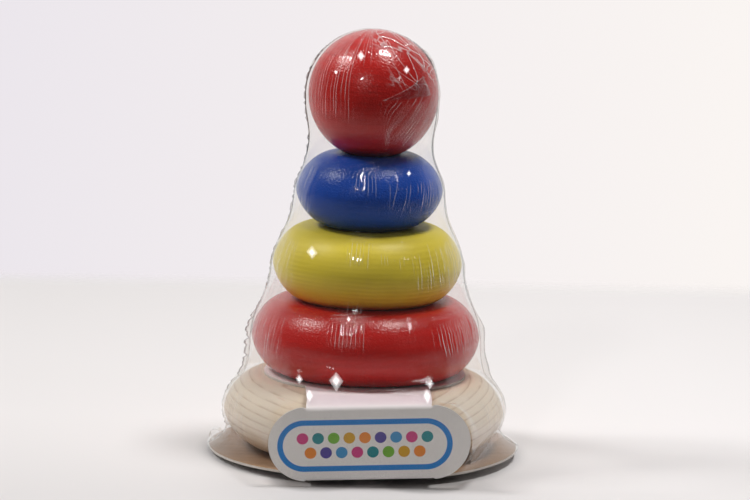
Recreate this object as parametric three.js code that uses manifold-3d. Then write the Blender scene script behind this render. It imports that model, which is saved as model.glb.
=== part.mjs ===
// Stacking ring toy: a turned wooden base with a peg, three painted rings and a ball that drop over
// the peg, a folded card insert that carries the toy, and the clear shrink film drawn over it all.
// Millimetres, +Z up. The origin is the centre of the card's underside, on the table, and -Y is the
// side that the card's panel faces.
import * as THREE from "three";
import { mergeVertices } from "three/addons/utils/BufferGeometryUtils.js";
import Module from "manifold-3d";

const wasm = await Module();
wasm.setup();

// Fits
const SEAT_GAP = 0.15; // between one piece and the next in the stack
const GLUE_GAP = 0.15; // round the peg in the base's socket
const PEG_CLEARANCE = 1.0; // round the peg in a ring's bore

// Turned wood
const RING_HEIGHT = 25.5;
const RED_RADIUS = 39.5;
const RED_EDGE_DEPTH = 10.2; // how far the rounded edge reaches in from the rim
const YELLOW_RADIUS = 32.7;
const YELLOW_EDGE_DEPTH = 10.4;
const BLUE_RADIUS = 25.4;
const BLUE_EDGE_DEPTH = 12;
const BASE_RADIUS = 48.5;
const BASE_EDGE_DEPTH = 11;
const BASE_HEIGHT = 25.5;
const EDGE_POWER = 1.7; // of every rounded edge: 2 is an ellipse, and less is more pointed
const BORE_CHAMFER = 1.0;
const BALL_RADIUS = 22.5;
const BALL_FLAT_RADIUS = 9.7;
const BALL_BORE_DEPTH = 22;
const PEG_RADIUS = 6;
const PEG_TIP_RADIUS = 2.5; // rounding of the peg's top edge
const PEG_END_CHAMFER = 1.0;
const PEG_HEADROOM = 2; // from the peg's tip to the end of the ball's bore
const SOCKET_DEPTH = 20;

// Folded card
const CARD_THICKNESS = 0.8;
const DISC_MARGIN = 4.9; // of the card under the base, past the base's rim
const PANEL_STANDOFF = 1; // of the panel's printed face, past the disc's rim
const FOLD_WIDTH = 42.6; // length of both fold lines, and the width of the neck
const FOLD_RADIUS = 1.2; // of the card's middle layer at a fold
const NECK_DROP = 1.2; // of the panel's top fold, below the collar
const NECK_LEAD = 1.5; // from the edge of the base's flat top to where the neck starts to drop
const COLLAR_MARGIN = 2.6; // from the collar's rim to the edge of the base's flat top
const COLLAR_HOLE_CLEARANCE = 2; // round the peg
const STRIP_LAP = 2; // of the folded strip into the disc and into the collar

// Shrink film
const FILM_THICKNESS = 0.4;
const FILM_GAP = 0.35; // from the film's inner face to the widest line of what it wraps
const SEAM_WIDTH = 1.2; // how far the sealed edge stands out on the left and right
const FLARE_HEIGHT = 7.5; // where the film leaves the base to run out to the disc's rim
const HEM_HEIGHT = 0.4; // of the film's cut edge over the table
const TENT_HEIGHT = 10; // of the slope from the panel's top fold up to the red ring
const FILM_SLACK = 0.8; // how much lower the film hangs than it would if it clung to each edge

// Facets
const RING_STEPS = 48;
const EDGE_STEPS = 10;
const BALL_STEPS = 12;
const PEG_STEPS = 24;
const FOLD_STEPS = 4;

// Heights of the stack, from the table up
const baseBottom = CARD_THICKNESS + SEAT_GAP;
const baseTop = baseBottom + BASE_HEIGHT;
const collarBottom = baseTop + SEAT_GAP;
const redBottom = collarBottom + CARD_THICKNESS + SEAT_GAP;
const yellowBottom = redBottom + RING_HEIGHT + SEAT_GAP;
const blueBottom = yellowBottom + RING_HEIGHT + SEAT_GAP;
const ballBottom = blueBottom + RING_HEIGHT + SEAT_GAP;
const ballFlatDrop = Math.sqrt(BALL_RADIUS ** 2 - BALL_FLAT_RADIUS ** 2);
const ballCentre = ballBottom + ballFlatDrop;
const collarTop = collarBottom + CARD_THICKNESS;
const panelHeight = collarTop - NECK_DROP;
const socketFloor = baseTop - SOCKET_DEPTH;
const pegBottom = socketFloor + GLUE_GAP;
const pegTop = ballBottom + BALL_BORE_DEPTH - PEG_HEADROOM;
const boreRadius = PEG_RADIUS + PEG_CLEARANCE;

// Reaches of the card from the peg's axis
const baseFlat = BASE_RADIUS - BASE_EDGE_DEPTH;
const discRadius = BASE_RADIUS + DISC_MARGIN;
const collarRadius = baseFlat - COLLAR_MARGIN;
const panelFace = discRadius + PANEL_STANDOFF;

function finish(colour, roughness, opacity = 1) {
  return new THREE.MeshStandardMaterial({
    color: colour,
    roughness,
    metalness: 0,
    transparent: opacity < 1,
    opacity,
  });
}

const naturalWood = finish("#d2bfa6", 0.6);
const redLacquer = finish("#b5231f", 0.3);
const yellowStain = finish("#c6c033", 0.35);
const blueLacquer = finish("#234a94", 0.35);
const whiteCard = finish("#e8e6e4", 0.7);
const clearFilm = finish("#f4f6f8", 0.1, 0.2);

// A profile turned about the Z axis: points are [radius, height], outside up, then inside down.
function turned(points, steps = RING_STEPS) {
  const profile = points.map(([r, z]) => new THREE.Vector2(r, z));
  return new THREE.LatheGeometry(profile, steps).rotateX(Math.PI / 2);
}

// A turned piece's outline: its radius, how deep its rounded edge is, its bottom and its height.
const baseForm = { radius: BASE_RADIUS, depth: BASE_EDGE_DEPTH, bottom: baseBottom, height: BASE_HEIGHT };
const redForm = { radius: RED_RADIUS, depth: RED_EDGE_DEPTH, bottom: redBottom, height: RING_HEIGHT };
const yellowForm = {
  radius: YELLOW_RADIUS,
  depth: YELLOW_EDGE_DEPTH,
  bottom: yellowBottom,
  height: RING_HEIGHT,
};
const blueForm = { radius: BLUE_RADIUS, depth: BLUE_EDGE_DEPTH, bottom: blueBottom, height: RING_HEIGHT };

// How far out a rounded edge stands at a height.
function edgeRadius({ radius, depth, bottom, height }, z) {
  const level = Math.min(1, Math.abs(z - bottom - height / 2) / (height / 2));
  return radius - depth * (1 - (1 - level ** EDGE_POWER) ** (1 / EDGE_POWER));
}

// The rounded edge from the bottom face to the top face, closer together where it curves most.
function edgeProfile(form) {
  const points = [];
  for (let i = 0; i <= EDGE_STEPS; i++) {
    const z = form.bottom + (form.height * (1 - Math.cos((Math.PI * i) / EDGE_STEPS))) / 2;
    points.push([edgeRadius(form, z), z]);
  }
  return points;
}

// A ring with its bore chamfered at both faces.
function boredRing(form) {
  const top = form.bottom + form.height;
  return turned([
    [boreRadius, form.bottom + BORE_CHAMFER],
    [boreRadius + BORE_CHAMFER, form.bottom],
    ...edgeProfile(form),
    [boreRadius + BORE_CHAMFER, top],
    [boreRadius, top - BORE_CHAMFER],
    [boreRadius, form.bottom + BORE_CHAMFER],
  ]);
}

// The base has a flat foot and a blind socket that the peg is glued into.
function baseBlock() {
  const socketRadius = PEG_RADIUS + GLUE_GAP;
  return turned([
    [0, baseBottom],
    ...edgeProfile(baseForm),
    [socketRadius + BORE_CHAMFER, baseTop],
    [socketRadius, baseTop - BORE_CHAMFER],
    [socketRadius, socketFloor],
    [0, socketFloor],
  ]);
}

// A dowel with a chamfered foot and a rounded tip that a child's hand meets.
function peg() {
  const points = [
    [0, pegBottom],
    [PEG_RADIUS - PEG_END_CHAMFER, pegBottom],
    [PEG_RADIUS, pegBottom + PEG_END_CHAMFER],
  ];
  for (let i = 0; i <= FOLD_STEPS; i++) {
    const a = (Math.PI / 2) * (i / FOLD_STEPS);
    const r = PEG_RADIUS - PEG_TIP_RADIUS * (1 - Math.cos(a));
    points.push([r, pegTop - PEG_TIP_RADIUS * (1 - Math.sin(a))]);
  }
  points.push([0, pegTop]);
  return turned(points, PEG_STEPS);
}

// The ball stands on a small flat, with a blind bore that ends in the drill's cone.
function ball() {
  const boreEnd = ballBottom + BALL_BORE_DEPTH;
  const drillCone = boreRadius * Math.tan(THREE.MathUtils.degToRad(31));
  const points = [
    [0, boreEnd + drillCone],
    [boreRadius, boreEnd],
    [boreRadius, ballBottom + BORE_CHAMFER],
    [boreRadius + BORE_CHAMFER, ballBottom],
  ];
  const start = -Math.acos(BALL_FLAT_RADIUS / BALL_RADIUS);
  for (let i = 0; i < BALL_STEPS; i++) {
    const a = start + (Math.PI / 2 - start) * (i / BALL_STEPS);
    points.push([BALL_RADIUS * Math.cos(a), ballCentre + BALL_RADIUS * Math.sin(a)]);
  }
  points.push([0, ballCentre + BALL_RADIUS]);
  return turned(points);
}

// A geometry as a solid that can be joined or cut, and back again.
function solidOf(geometry) {
  const plain = geometry.index ? geometry.toNonIndexed() : geometry.clone();
  plain.deleteAttribute("normal");
  plain.deleteAttribute("uv");
  const merged = mergeVertices(plain, 1e-4);
  return new wasm.Manifold(
    new wasm.Mesh({
      numProp: 3,
      vertProperties: merged.attributes.position.array,
      triVerts: new Uint32Array(merged.index.array),
    }),
  );
}

function geometryOf(solid) {
  const mesh = solid.getMesh();
  return new THREE.BufferGeometry()
    .setAttribute("position", new THREE.BufferAttribute(mesh.vertProperties, 3))
    .setIndex(new THREE.BufferAttribute(mesh.triVerts, 1));
}

// A flat round of card lying from a height up, straight in front between the ends of the fold line,
// with a hole if its radius is given.
function cardRound(radius, bottom, holeRadius = 0) {
  const half = FOLD_WIDTH / 2;
  const corner = Math.asin(half / radius);
  const front = Math.PI * 1.5;
  const round = new THREE.Shape().absarc(0, 0, radius, front + corner, front - corner + Math.PI * 2);
  if (holeRadius) round.holes.push(new THREE.Path().absarc(0, 0, holeRadius, 0, Math.PI * 2));
  const options = { depth: CARD_THICKNESS, bevelEnabled: false, curveSegments: RING_STEPS / 2 };
  return new THREE.ExtrudeGeometry(round, options).translate(0, 0, bottom);
}

// How far from the axis a round's straight front lies.
function frontOf(radius) {
  return Math.sqrt(radius ** 2 - (FOLD_WIDTH / 2) ** 2);
}

// The strip of card between the ends of the folds, drawn from the side and as wide as the folds: out
// from the disc, round the bottom fold, up the panel, round the top fold, and back along the neck,
// which climbs to the base's top and runs level into the collar.
function foldedStrip() {
  const half = CARD_THICKNESS / 2;
  const outer = FOLD_RADIUS + half;
  const inner = FOLD_RADIUS - half;
  const foldAt = outer - panelFace;
  const bottomFold = new THREE.Vector2(foldAt, outer);
  const topFold = new THREE.Vector2(foldAt, panelHeight - outer);
  const bend = new THREE.Vector2(-baseFlat - NECK_LEAD, collarBottom + half);
  const toBend = bend.clone().sub(topFold);
  const climb = toBend.angle() - Math.asin(FOLD_RADIUS / toBend.length());
  const mitre = half * Math.tan(climb / 2);
  const start = STRIP_LAP - frontOf(discRadius);
  const end = STRIP_LAP - frontOf(collarRadius);
  const outline = new THREE.Shape();
  outline.moveTo(start, 0);
  outline.absarc(bottomFold.x, bottomFold.y, outer, -Math.PI / 2, -Math.PI, true);
  outline.absarc(topFold.x, topFold.y, outer, Math.PI, Math.PI / 2 + climb, true);
  outline.lineTo(bend.x - mitre, collarTop);
  outline.lineTo(end, collarTop);
  outline.lineTo(end, collarBottom);
  outline.lineTo(bend.x + mitre, collarBottom);
  outline.absarc(topFold.x, topFold.y, inner, Math.PI / 2 + climb, Math.PI, false);
  outline.absarc(bottomFold.x, bottomFold.y, inner, -Math.PI, -Math.PI / 2, false);
  outline.lineTo(start, CARD_THICKNESS);
  const options = { depth: FOLD_WIDTH, bevelEnabled: false, curveSegments: FOLD_STEPS / 2 };
  return new THREE.ExtrudeGeometry(outline, options)
    .translate(0, 0, -FOLD_WIDTH / 2)
    .applyMatrix4(new THREE.Matrix4().set(0, 0, 1, 0, 1, 0, 0, 0, 0, 1, 0, 0, 0, 0, 0, 1));
}

// One of the panel's two round ends, which stand out past the folds.
function panelEnd(side) {
  const radius = panelHeight / 2;
  const outline = new THREE.Shape();
  outline.absarc((side * FOLD_WIDTH) / 2, radius, radius, -Math.PI / 2, Math.PI / 2, side < 0);
  const options = { depth: CARD_THICKNESS, bevelEnabled: false, curveSegments: RING_STEPS / 4 };
  return new THREE.ExtrudeGeometry(outline, options)
    .rotateX(Math.PI / 2)
    .translate(0, CARD_THICKNESS - panelFace, 0);
}

// One card, cut out flat and folded twice: disc, panel, neck and the collar round the peg.
function cardInsert() {
  const holeRadius = PEG_RADIUS + COLLAR_HOLE_CLEARANCE;
  return geometryOf(
    solidOf(foldedStrip())
      .add(solidOf(cardRound(discRadius, 0)))
      .add(solidOf(cardRound(collarRadius, collarBottom, holeRadius)))
      .add(solidOf(panelEnd(1)))
      .add(solidOf(panelEnd(-1))),
  );
}

// The widest the toy stands at a height or anywhere above it, which is what a film that is drawn
// down over it from the top, and can be drawn off again, has to clear.
function widestFrom(z) {
  const reaches = [baseForm, redForm, yellowForm, blueForm]
    .filter(({ bottom, height }) => z < bottom + height)
    .map((form) => edgeRadius(form, Math.max(z, form.bottom + form.height / 2)));
  return Math.max(BALL_RADIUS, ...reaches);
}

// The heights of the film's rows below the ball's centre, from the top down: evenly spaced over the
// rings and the slope, then round the panel's ends, then down the flare to the hem.
const WALL_STEPS = 20;
const SLOPE_STEPS = 4;
const PANEL_STEPS = 5;
const FLARE_STEPS = 4;

function filmHeights(clearance) {
  const heights = [];
  const over = panelHeight + clearance;
  const steps = (from, to, count, ease = (t) => t) => {
    for (let i = 1; i <= count; i++) heights.push(from + (to - from) * ease(i / count));
  };
  steps(ballCentre, over + TENT_HEIGHT, WALL_STEPS);
  steps(over + TENT_HEIGHT, over, SLOPE_STEPS);
  steps(over, panelHeight / 2, PANEL_STEPS, (t) => 1 - Math.cos((Math.PI / 2) * t));
  steps(panelHeight / 2, FLARE_HEIGHT, 1);
  steps(FLARE_HEIGHT, HEM_HEIGHT, FLARE_STEPS, (t) => Math.sin((Math.PI / 2) * t));
  return heights;
}

// The film's meridian as [radius, height], from the crown down to the hem, held off by a clearance.
const CROWN_STEPS = 6;
const SMOOTHINGS = 2;

function filmMeridian(clearance) {
  const crown = [];
  for (let i = 1; i <= CROWN_STEPS; i++) {
    const a = (Math.PI / 2) * (1 - i / CROWN_STEPS);
    const r = BALL_RADIUS + clearance;
    crown.push([r * Math.cos(a), ballCentre + r * Math.sin(a)]);
  }
  const heights = filmHeights(clearance);
  const close = heights.map((z) => widestFrom(z - FILM_SLACK));
  let radii = close;
  for (let pass = 0; pass < SMOOTHINGS; pass++) {
    radii = radii.map((r, i) => {
      const above = radii[Math.max(0, i - 1)];
      const below = radii[Math.min(radii.length - 1, i + 1)];
      return Math.max(close[i], (above + 2 * r + below) / 4);
    });
  }
  const wall = heights.map((z, i) => {
    const down = THREE.MathUtils.clamp(1 - (z - HEM_HEIGHT) / FLARE_HEIGHT, 0, 1);
    const flare = (discRadius - BASE_RADIUS) * down * down * (3 - 2 * down);
    return [radii[i] + clearance + flare, z];
  });
  return [...crown, ...wall];
}

// Where the ray from the axis at an angle crosses the line from a to b, or 0 if it doesn't.
function rayToLine(angle, a, b) {
  const ray = new THREE.Vector2(Math.cos(angle), Math.sin(angle));
  const along = b.clone().sub(a);
  const cross = ray.cross(along);
  if (Math.abs(cross) < 1e-9) return 0;
  const distance = a.cross(along) / cross;
  const share = a.cross(ray) / cross;
  return distance > 0 && share >= 0 && share <= 1 ? distance : 0;
}

// The film's reach at an angle: a circle round the toy, drawn tight over the panel's two corners.
function filmReach(angle, radius, halfWidth, face) {
  const right = new THREE.Vector2(halfWidth, -face);
  const left = new THREE.Vector2(-halfWidth, -face);
  const far = right.length();
  if (far <= radius) return radius;
  const spread = Math.acos(radius / far);
  const touch = (corner, turn) => corner.clone().rotateAround(new THREE.Vector2(), turn).setLength(radius);
  return Math.max(
    radius,
    rayToLine(angle, left, right),
    rayToLine(angle, right, touch(right, spread)),
    rayToLine(angle, left, touch(left, -spread)),
  );
}

// The film's half width and reach in front: over the panel, and from its top fold sloping back
// between two creases that land on the red ring.
function filmFront(z, clearance) {
  const end = panelHeight / 2;
  const round = end + clearance;
  const up = THREE.MathUtils.clamp(z - end, 0, round);
  const overPanel = FOLD_WIDTH / 2 + Math.sqrt(round ** 2 - up ** 2);
  const rise = THREE.MathUtils.clamp((z - end - round) / TENT_HEIGHT, 0, 1);
  const landing = Math.sqrt(RED_RADIUS ** 2 - (FOLD_WIDTH / 2) ** 2);
  return {
    halfWidth: overPanel,
    face: THREE.MathUtils.lerp(panelFace, landing, rise) + clearance,
  };
}

// Angles round one row of the film: three close together at each sealed edge, even steps round the
// back, and in front two that lie on the panel's corners, wherever they are at that height.
const BACK_STEPS = 16;
const SIDE_STEPS = 5;
const FACE_STEPS = 5;
const SEAM_HALF_ANGLE = 0.03;

function filmAngles(cornerAngle) {
  const left = Math.PI + SEAM_HALF_ANGLE;
  const right = Math.PI * 2 - SEAM_HALF_ANGLE;
  const leftCorner = Math.PI * 1.5 - cornerAngle;
  const rightCorner = Math.PI * 1.5 + cornerAngle;
  const angles = [0];
  const steps = (from, to, count) => {
    for (let i = 1; i <= count; i++) angles.push(from + ((to - from) * i) / count);
  };
  angles.push(SEAM_HALF_ANGLE);
  steps(SEAM_HALF_ANGLE, Math.PI - SEAM_HALF_ANGLE, BACK_STEPS);
  angles.push(Math.PI, left);
  steps(left, leftCorner, SIDE_STEPS);
  steps(leftCorner, rightCorner, FACE_STEPS);
  steps(rightCorner, right, SIDE_STEPS);
  return angles;
}

// One face of the film as rings of points, from the crown to the hem.
function filmFace(clearance) {
  return filmMeridian(clearance).map(([radius, z]) => {
    const { halfWidth, face } = filmFront(z, clearance);
    return filmAngles(Math.atan2(halfWidth, face)).map((angle) => {
      const sealed = angle === 0 || angle === Math.PI;
      const ridge = sealed ? SEAM_WIDTH * Math.min(1, radius / BALL_RADIUS) : 0;
      const front = z < panelHeight + clearance + TENT_HEIGHT;
      const reach = front ? filmReach(angle, radius, halfWidth, face) : radius;
      return [(reach + ridge) * Math.cos(angle), (reach + ridge) * Math.sin(angle), z];
    });
  });
}

// The film's two faces, closed over the crown and joined along the hem.
function shrinkFilm() {
  const outer = filmFace(FILM_GAP + FILM_THICKNESS);
  const inner = filmFace(FILM_GAP);
  const count = outer[0].length;
  const positions = [];
  const faces = [];
  const ringStarts = [...outer, ...inner].map((ring) => {
    const start = positions.length / 3;
    ring.forEach((p) => positions.push(...p));
    return start;
  });
  const band = (upper, lower) => {
    for (let j = 0; j < count; j++) {
      const k = (j + 1) % count;
      faces.push(upper + j, lower + j, lower + k, upper + j, lower + k, upper + k);
    }
  };
  const cap = (z, ring, sign) => {
    const pole = positions.length / 3;
    positions.push(0, 0, z);
    for (let j = 0; j < count; j++) {
      const k = (j + 1) % count;
      faces.push(pole, ring + (sign > 0 ? j : k), ring + (sign > 0 ? k : j));
    }
  };
  const rows = outer.length;
  for (let i = 0; i + 1 < rows; i++) {
    band(ringStarts[i], ringStarts[i + 1]);
    band(ringStarts[rows + i + 1], ringStarts[rows + i]);
  }
  band(ringStarts[rows - 1], ringStarts[2 * rows - 1]);
  cap(ballCentre + BALL_RADIUS + FILM_GAP + FILM_THICKNESS, ringStarts[0], 1);
  cap(ballCentre + BALL_RADIUS + FILM_GAP, ringStarts[rows], -1);
  return new THREE.BufferGeometry()
    .setAttribute("position", new THREE.BufferAttribute(new Float32Array(positions), 3))
    .setIndex(faces);
}

const toy = new THREE.Group();
const pieces = [
  ["card_insert", cardInsert(), whiteCard],
  ["base_ring", baseBlock(), naturalWood],
  ["peg", peg(), naturalWood],
  ["red_ring", boredRing(redForm), redLacquer],
  ["yellow_ring", boredRing(yellowForm), yellowStain],
  ["blue_ring", boredRing(blueForm), blueLacquer],
  ["top_ball", ball(), redLacquer],
  ["shrink_film", shrinkFilm(), clearFilm],
];
for (const [name, geometry, material] of pieces) {
  const mesh = new THREE.Mesh(geometry, material);
  mesh.name = name;
  toy.add(mesh);
}

export default toy;
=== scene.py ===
"""A wooden ring stacker as it is sold, on its folded card and in its clear shrink film.

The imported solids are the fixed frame. Each piece is modelled again here at its own place with a finer
surface and the finish that it has in life: bare and lacquered turned wood, lined board and film.
"""

import math
import random
from functools import partial

import bpy
import numpy as np
from bpy.props import FloatProperty, FloatVectorProperty, IntProperty, PointerProperty
from mathutils import Matrix, Quaternion, Vector


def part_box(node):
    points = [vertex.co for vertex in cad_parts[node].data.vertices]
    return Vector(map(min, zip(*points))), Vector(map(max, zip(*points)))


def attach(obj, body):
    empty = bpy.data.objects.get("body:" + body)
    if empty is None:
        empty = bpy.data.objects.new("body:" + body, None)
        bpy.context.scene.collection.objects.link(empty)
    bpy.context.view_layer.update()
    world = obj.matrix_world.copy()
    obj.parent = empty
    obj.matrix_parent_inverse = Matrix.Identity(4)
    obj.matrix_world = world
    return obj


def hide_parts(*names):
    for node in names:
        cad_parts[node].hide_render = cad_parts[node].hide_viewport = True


bl_info = {
    "name": "Ring stacker in shrink film",
    "version": (1, 0, 0),
    "blender": (4, 5, 0),
    "location": "3D View > Sidebar > Stacker",
    "description": "Models a wooden ring stacker with its card insert and its clear film",
    "category": "Object",
}

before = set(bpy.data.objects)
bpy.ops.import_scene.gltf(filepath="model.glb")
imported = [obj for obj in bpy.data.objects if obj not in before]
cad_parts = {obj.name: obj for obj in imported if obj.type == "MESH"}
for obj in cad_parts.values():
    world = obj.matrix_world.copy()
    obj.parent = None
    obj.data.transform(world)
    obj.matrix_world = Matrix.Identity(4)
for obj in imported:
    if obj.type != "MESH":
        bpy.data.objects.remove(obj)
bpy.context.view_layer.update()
MM = 0.001


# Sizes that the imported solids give

def radius_of(node):
    """The radius of a piece turned about the Z axis."""
    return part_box(node)[1].x


def bottom_of(node):
    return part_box(node)[0].z


def top_of(node):
    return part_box(node)[1].z


# Colours

def linear(code):
    """A colour written as sRGB hex, in the linear values that shaders take."""
    parts = [int(code[i:i + 2], 16) / 255 for i in (1, 3, 5)]
    return tuple(p / 12.92 if p <= 0.04045 else ((p + 0.055) / 1.055) ** 2.4 for p in parts)


def colour_property(name, code, description):
    return FloatVectorProperty(
        name=name, description=description, subtype="COLOR", size=3, min=0, max=1, default=linear(code)
    )


def length_property(name, millimetres, description):
    return FloatProperty(
        name=name, description=description, subtype="DISTANCE", unit="LENGTH", min=0,
        precision=5, default=millimetres * MM,
    )


class StackerWood(bpy.types.PropertyGroup):
    """Sizes and colours of the turned wood."""
    edge_power: FloatProperty(
        name="Edge power", description="2 makes a ring's rounded edge an ellipse, and less more pointed",
        default=1.7, min=1.2, max=3,
    )
    base_depth: length_property("Base edge depth", 11, "How far the base's rounded edge reaches in above")
    base_under: length_property("Base lower edge depth", 14.5, "How far it reaches in below")
    red_depth: length_property("Large ring edge depth", 10.2, "How far the rounded edge reaches in")
    yellow_depth: length_property("Middle ring edge depth", 10.4, "How far the rounded edge reaches in")
    blue_depth: length_property("Small ring edge depth", 12, "How far the rounded edge reaches in")
    bore_radius: length_property("Bore radius", 7, "Of the rings and the ball round the peg")
    bore_chamfer: length_property("Bore chamfer", 1, "At each mouth of a bore")
    ball_flat: length_property("Ball flat radius", 9.7, "Of the flat that the ball stands on")
    ball_bore: length_property("Ball bore depth", 22, "From the flat to the start of the drill's cone")
    ball_shift: length_property("Ball shift", 0.6, "How far it sits to the right in its play")
    steps: IntProperty(name="Steps", description="Facets round a turned piece", default=192, min=24, max=512)
    bare: colour_property("Bare wood", "#efdcc2", "Early wood of the base")
    ring_line: colour_property("Growth ring", "#a3753f", "Late wood of the base")
    red: colour_property("Red", "#cb221d", "Lacquer of the large ring and the ball")
    yellow: colour_property("Yellow", "#e6d142", "Stain of the middle ring over early wood")
    yellow_line: colour_property("Yellow line", "#c6ac26", "Stain of the middle ring over late wood")
    # The colour that the middle ring takes towards its lower edge
    yellow_low_edge: colour_property("Yellow, thick", "#e8aa30", "Stain gathered at the middle ring's lower edge")
    blue: colour_property("Blue", "#1f4fb4", "Lacquer of the small ring")


class StackerCard(bpy.types.PropertyGroup):
    """Sizes and colours of the folded card."""
    thickness: length_property("Thickness", 0.8, "Of the board")
    fold_width: length_property("Fold width", 42.6, "Length of both folds, and the width of the neck")
    fold_radius: length_property("Fold radius", 1.2, "Of the board's middle layer")
    neck_lead: length_property("Neck lead", 39, "From the peg's axis to where the neck starts to drop")
    hole_radius: length_property("Hole radius", 8, "Of the collar's hole round the peg")
    front_lift: length_property("Front lift", 0.4, "How far the bottom fold is drawn up by the film")
    panel_turn: FloatProperty(
        name="Panel turn", description="How far the panel sits turned in its plane, in degrees",
        default=2.2, min=0, max=4,
    )
    top_lean: length_property("Top lean", 0.8, "How far the panel's top stands forward")
    rim_lift: length_property("Rim lift", 0.2, "How far the disc's rim is drawn up at the sides and behind")
    right_lift: length_property("Right lift", 1.0, "How much more it is drawn up on the right")
    line_width: length_property("Line width", 1.9, "Of the printed outline")
    white: colour_property("White", "#f6f3f1", "The lined outer face")
    kraft: colour_property("Grey board", "#ab8869", "The unlined inner face")
    core: colour_property("Core", "#cfc8c0", "The board's cut edge")
    line: colour_property("Printed outline", "#2c88d8", "Of the outline on the panel")


class StackerFilm(bpy.types.PropertyGroup):
    """Sizes and look of the shrink film."""
    gap: length_property("Gap", 0.28, "From the film to what it lies on")
    thickness: length_property("Thickness", 0.06, "Of the film")
    seam: length_property("Seam", 0.9, "How far the sealed edge stands out")
    pleat: length_property("Pleat height", 0.42, "Of the tallest pleats")
    haze: FloatProperty(
        name="Haze", description="Share of light that smooth film scatters", default=0.004, min=0, max=1
    )
    crease_haze: FloatProperty(
        name="Crease haze", description="Share of light that creases scatter", default=0.26, min=0, max=1
    )


class StackerStage(bpy.types.PropertyGroup):
    """Colours of the surroundings."""
    table: colour_property("Table", "#dbd7d6", "The floor under the object")
    wall_left: colour_property("Wall, left", "#ebe6ec", "What is seen behind the floor on the left")
    wall_right: colour_property("Wall, right", "#faf5f2", "What is seen behind the floor on the right")


# Small helpers

def stacker(context):
    return context.scene.stacker


def deselect_all():
    bpy.ops.object.select_all(action="DESELECT")


def only(obj):
    """Makes an object the active one and the only one selected."""
    deselect_all()
    obj.select_set(True)
    bpy.context.view_layer.objects.active = obj


def close_up(threshold=1e-6):
    """Merges the doubles of the mesh in Edit Mode, points its faces outwards and leaves Edit Mode."""
    bpy.ops.mesh.select_all(action="SELECT")
    bpy.ops.mesh.remove_doubles(threshold=threshold)
    bpy.ops.mesh.select_all(action="SELECT")
    bpy.ops.mesh.normals_make_consistent(inside=False)
    bpy.ops.object.mode_set(mode="OBJECT")


def store(mesh, name, values):
    """Keeps a number or a vector for each point of a mesh under a name."""
    kind, field = ("FLOAT", "value") if values.ndim == 1 else ("FLOAT_VECTOR", "vector")
    attribute = mesh.attributes.new(name, kind, "POINT")
    attribute.data.foreach_set(field, values.reshape(-1).astype(np.float32))


def finish_piece(obj, name, body, node, material, angle=35):
    """Names a piece, smooths it, gives it its material and puts it on its body in its node's place."""
    only(obj)
    bpy.ops.object.transform_apply(location=True, rotation=True, scale=True)
    obj.name = name
    obj.data.name = name
    obj.data.materials.clear()
    obj.data.materials.append(material)
    bpy.ops.object.shade_smooth_by_angle(angle=math.radians(angle))
    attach(obj, body)
    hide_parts(node)
    return obj


def add_node(tree, kind, *inputs, **settings):
    """Adds a node with its inputs in order or by name, its properties and its ramp's stops.

    An input is a value or a link, and a node stands for its first output.
    """
    node = tree.nodes.new("ShaderNode" + kind)
    named = []
    for name, value in settings.items():
        if name == "stops":
            stops = node.color_ramp.elements
            while len(stops) < len(value):
                stops.new(1)
            for stop, (position, colour) in zip(stops, value):
                stop.position = position
                stop.color = (*colour, 1) if isinstance(colour, tuple) else (colour, colour, colour, 1)
        elif name == "ramp":
            node.color_ramp.interpolation = value
        elif name.replace("_", " ") in node.inputs:
            named.append((node.inputs[name.replace("_", " ")], value))
        else:
            setattr(node, name, value)
    usable = [socket for socket in node.inputs if socket.enabled]
    for socket, value in (*zip(usable, inputs), *named):
        if isinstance(value, bpy.types.Node):
            value = next(output for output in value.outputs if output.enabled)
        if isinstance(value, bpy.types.NodeSocket):
            tree.links.new(value, socket)
        else:
            socket.default_value = value
    return node


def emptied(holder):
    """A material or world with no nodes yet, and what adds nodes to it."""
    holder.use_nodes = True
    holder.node_tree.nodes.clear()
    return holder, partial(add_node, holder.node_tree)


def smooth_step(t):
    """0 below 0, 1 above 1, and a soft rise in between."""
    t = min(1.0, max(0.0, t))
    return t * t * (3 - 2 * t)


def rgba(colour):
    return (*colour, 1)


def shaded(colour, share, low, high):
    """The stops of a ramp from a darker share of a colour up to the colour itself."""
    return [(low, tuple(part * share for part in colour)), (high, tuple(colour))]


def waves_per_metre(spacing):
    """The scale at which Blender's wave texture repeats after that many metres."""
    return 2 * math.pi / (20 * spacing)


# Materials

GROWTH_SPACING = 2.6 * MM
PITH_ABOVE_BASE = 150 * MM
FINE_SPACING = 1.2 * MM
FIBRE_WIDTH = 0.35 * MM
PEEL_WIDTH = 0.7 * MM
GRAIN_DEPTH = 0.05 * MM
PEEL_DEPTH = 0.16 * MM


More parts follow.
